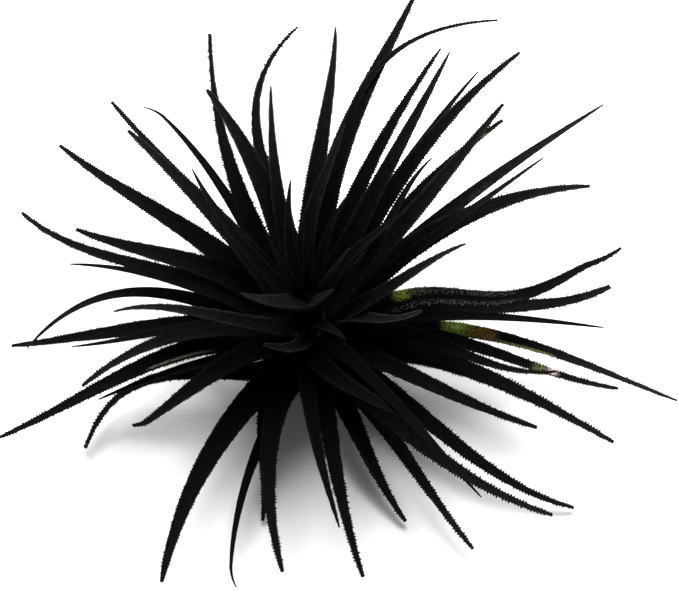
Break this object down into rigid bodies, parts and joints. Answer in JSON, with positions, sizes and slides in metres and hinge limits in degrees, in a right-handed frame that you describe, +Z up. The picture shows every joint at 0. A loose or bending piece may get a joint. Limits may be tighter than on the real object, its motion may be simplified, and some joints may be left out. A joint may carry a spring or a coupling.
{
  "type": "sky plant",
  "caption": "Black-dyed sky plant: a spiky air plant rosette of narrow, tapering, scaly leaves arching out from a short trimmed stem.",
  "frame": {"origin": "middle of the stem's flat cut base, which stands on the surface", "axes": "+Z up along the stem to the growing point, +X and +Y level, with the picture taken from the -Y side and above"},
  "size_m": [0.1059, 0.0936, 0.0483],
  "materials": {
    "bark": "rough, fibrous, dry",
    "leaf": "matt, scaly, dyed black",
    "young_leaf": "smooth, soft sheen, dyed charcoal"
  },
  "bodies": {
    "root": {"stem": "bark", "whorl_1": "leaf", "whorl_2": "leaf", "whorl_3": "leaf", "whorl_4": "leaf", "whorl_5": "leaf", "whorl_6": "leaf", "whorl_7": "leaf", "heart": "young_leaf"}
  },
  "joints": []
}
